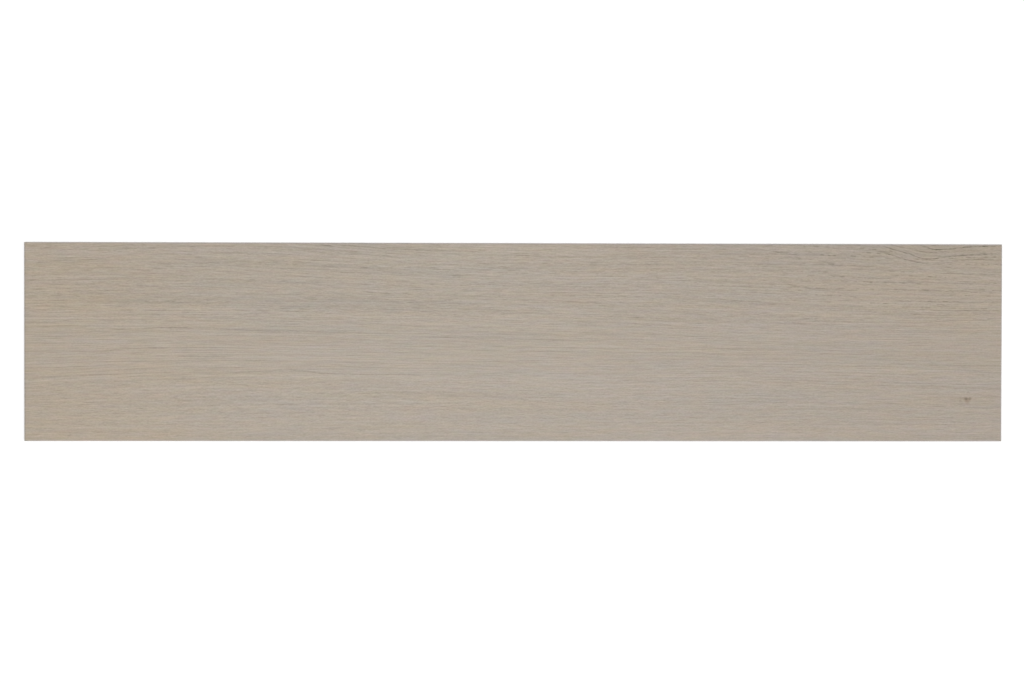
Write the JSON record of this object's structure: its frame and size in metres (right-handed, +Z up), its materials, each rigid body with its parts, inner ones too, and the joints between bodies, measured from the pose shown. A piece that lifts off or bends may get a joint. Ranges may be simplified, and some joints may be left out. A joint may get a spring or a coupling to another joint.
{
  "type": "herringbone vinyl plank",
  "caption": "Flat rectangular vinyl floor plank with a wood-grain wear face and a micro-bevel on every side, glued down edge to edge in a herringbone pattern.",
  "frame": {"origin": "middle of the back, which lies on the floor", "axes": "+X along the plank and its grain, +Y across it, +Z up, out of the wear face"},
  "size_m": [0.61, 0.1234, 0.0025],
  "materials": {
    "wood_grain_vinyl": "matte"
  },
  "bodies": {
    "root": {"vinyl_plank": "wood_grain_vinyl"}
  },
  "joints": []
}
